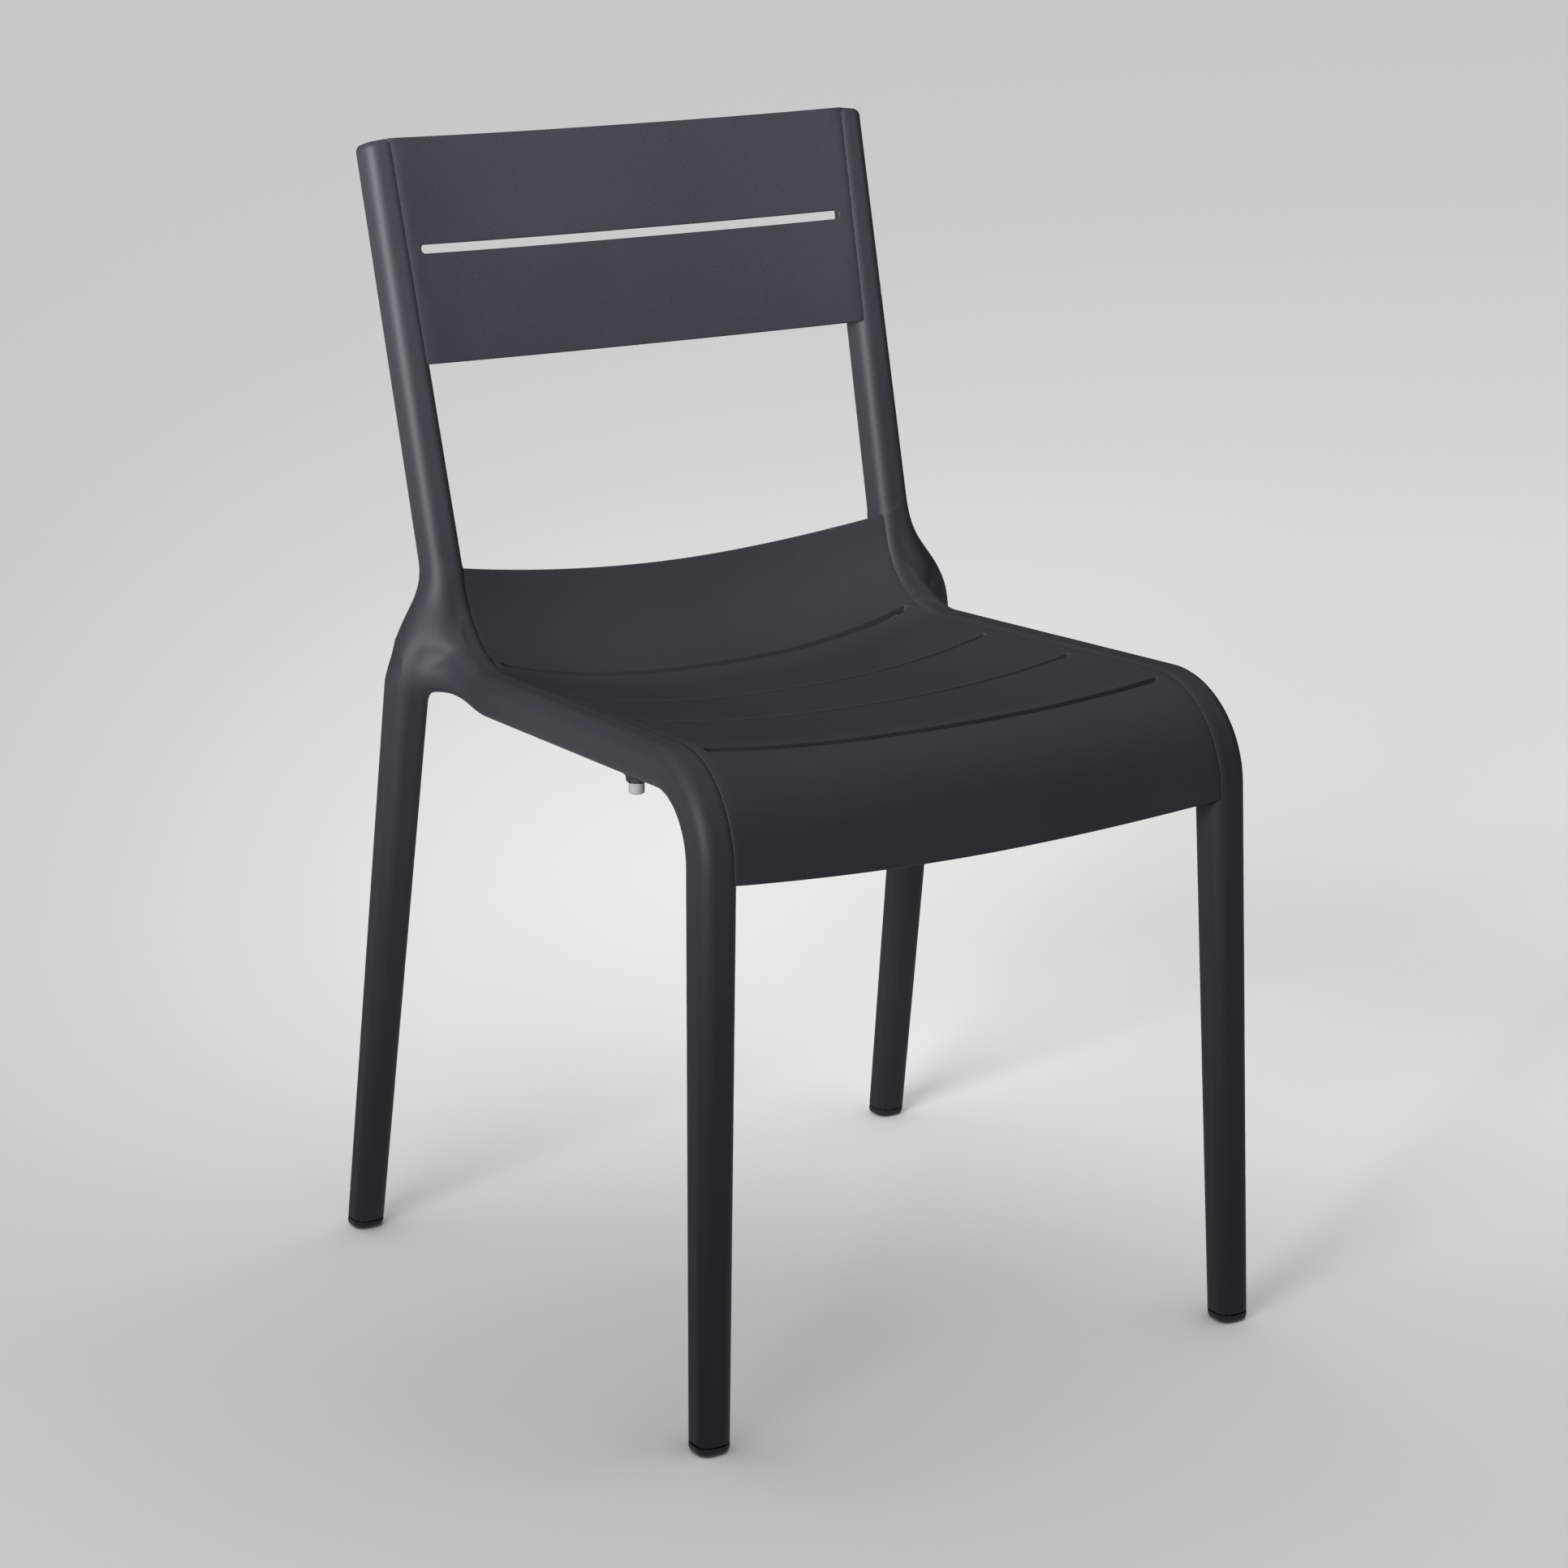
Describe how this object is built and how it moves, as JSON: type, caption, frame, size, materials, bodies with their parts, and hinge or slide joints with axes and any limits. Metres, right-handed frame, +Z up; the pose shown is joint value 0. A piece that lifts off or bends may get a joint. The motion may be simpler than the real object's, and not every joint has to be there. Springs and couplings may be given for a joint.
{
  "type": "stacking chair",
  "caption": "Moulded plastic stacking chair: tubular side frames with splayed legs, a dished seat with front apron and cross slots, and a low curved slotted back.",
  "frame": {"origin": "on the floor, at the middle of the chair's box in plan", "axes": "+Z up; the sitter faces -Y, so the back is towards +Y; +X is the right-hand side seen from the front, square to the plane of symmetry"},
  "size_m": [0.4792, 0.5054, 0.7939],
  "materials": {
    "frame_moulding": "fine satin grain, anthracite",
    "panel_moulding": "fine matte grain, anthracite",
    "foot_glide": "smooth satin, anthracite",
    "bumper_cap": "smooth, light grey"
  },
  "bodies": {
    "root": {"side_frame_left": "frame_moulding", "side_frame_right": "frame_moulding", "seat_panel": "panel_moulding", "back_panel": "panel_moulding", "front_foot_glide_left": "foot_glide", "front_foot_glide_right": "foot_glide", "rear_foot_glide_left": "foot_glide", "rear_foot_glide_right": "foot_glide", "stacking_bumper_cap_left": "bumper_cap", "stacking_bumper_cap_right": "bumper_cap"}
  },
  "joints": []
}
